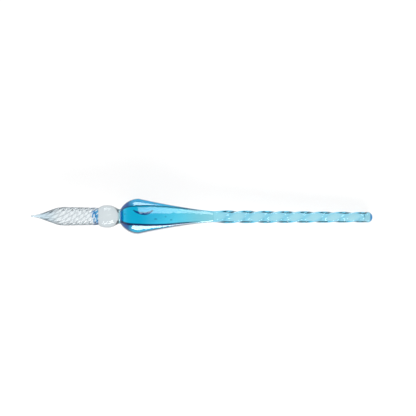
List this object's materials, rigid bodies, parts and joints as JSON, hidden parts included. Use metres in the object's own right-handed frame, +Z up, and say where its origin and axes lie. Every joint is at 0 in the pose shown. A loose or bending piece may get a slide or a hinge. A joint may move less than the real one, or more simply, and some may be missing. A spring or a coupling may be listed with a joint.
{
  "type": "glass dip pen",
  "caption": "Glass dip pen with a clear spiral-grooved nib and ball, a light-blue square bulb for a grip and a twisted square handle, lying on its bulb and end.",
  "frame": {"origin": "on the surface that the pen lies on, below the middle of its bounding box", "axes": "+X along the pen from the nib to the far end, +Z up, +Y across; the pen lies as it rests on a desk, nib end about 2.9 degrees nose up"},
  "size_m": [0.1748, 0.0178, 0.0176],
  "materials": {
    "clear_glass": "clear, fire-polished, gloss",
    "blue_glass": "light blue, transparent, gloss, with a few air bubbles"
  },
  "bodies": {
    "root": {"nib": "clear_glass", "ball": "clear_glass", "bulb": "blue_glass", "stem": "blue_glass", "end_bead": "blue_glass"}
  },
  "joints": []
}
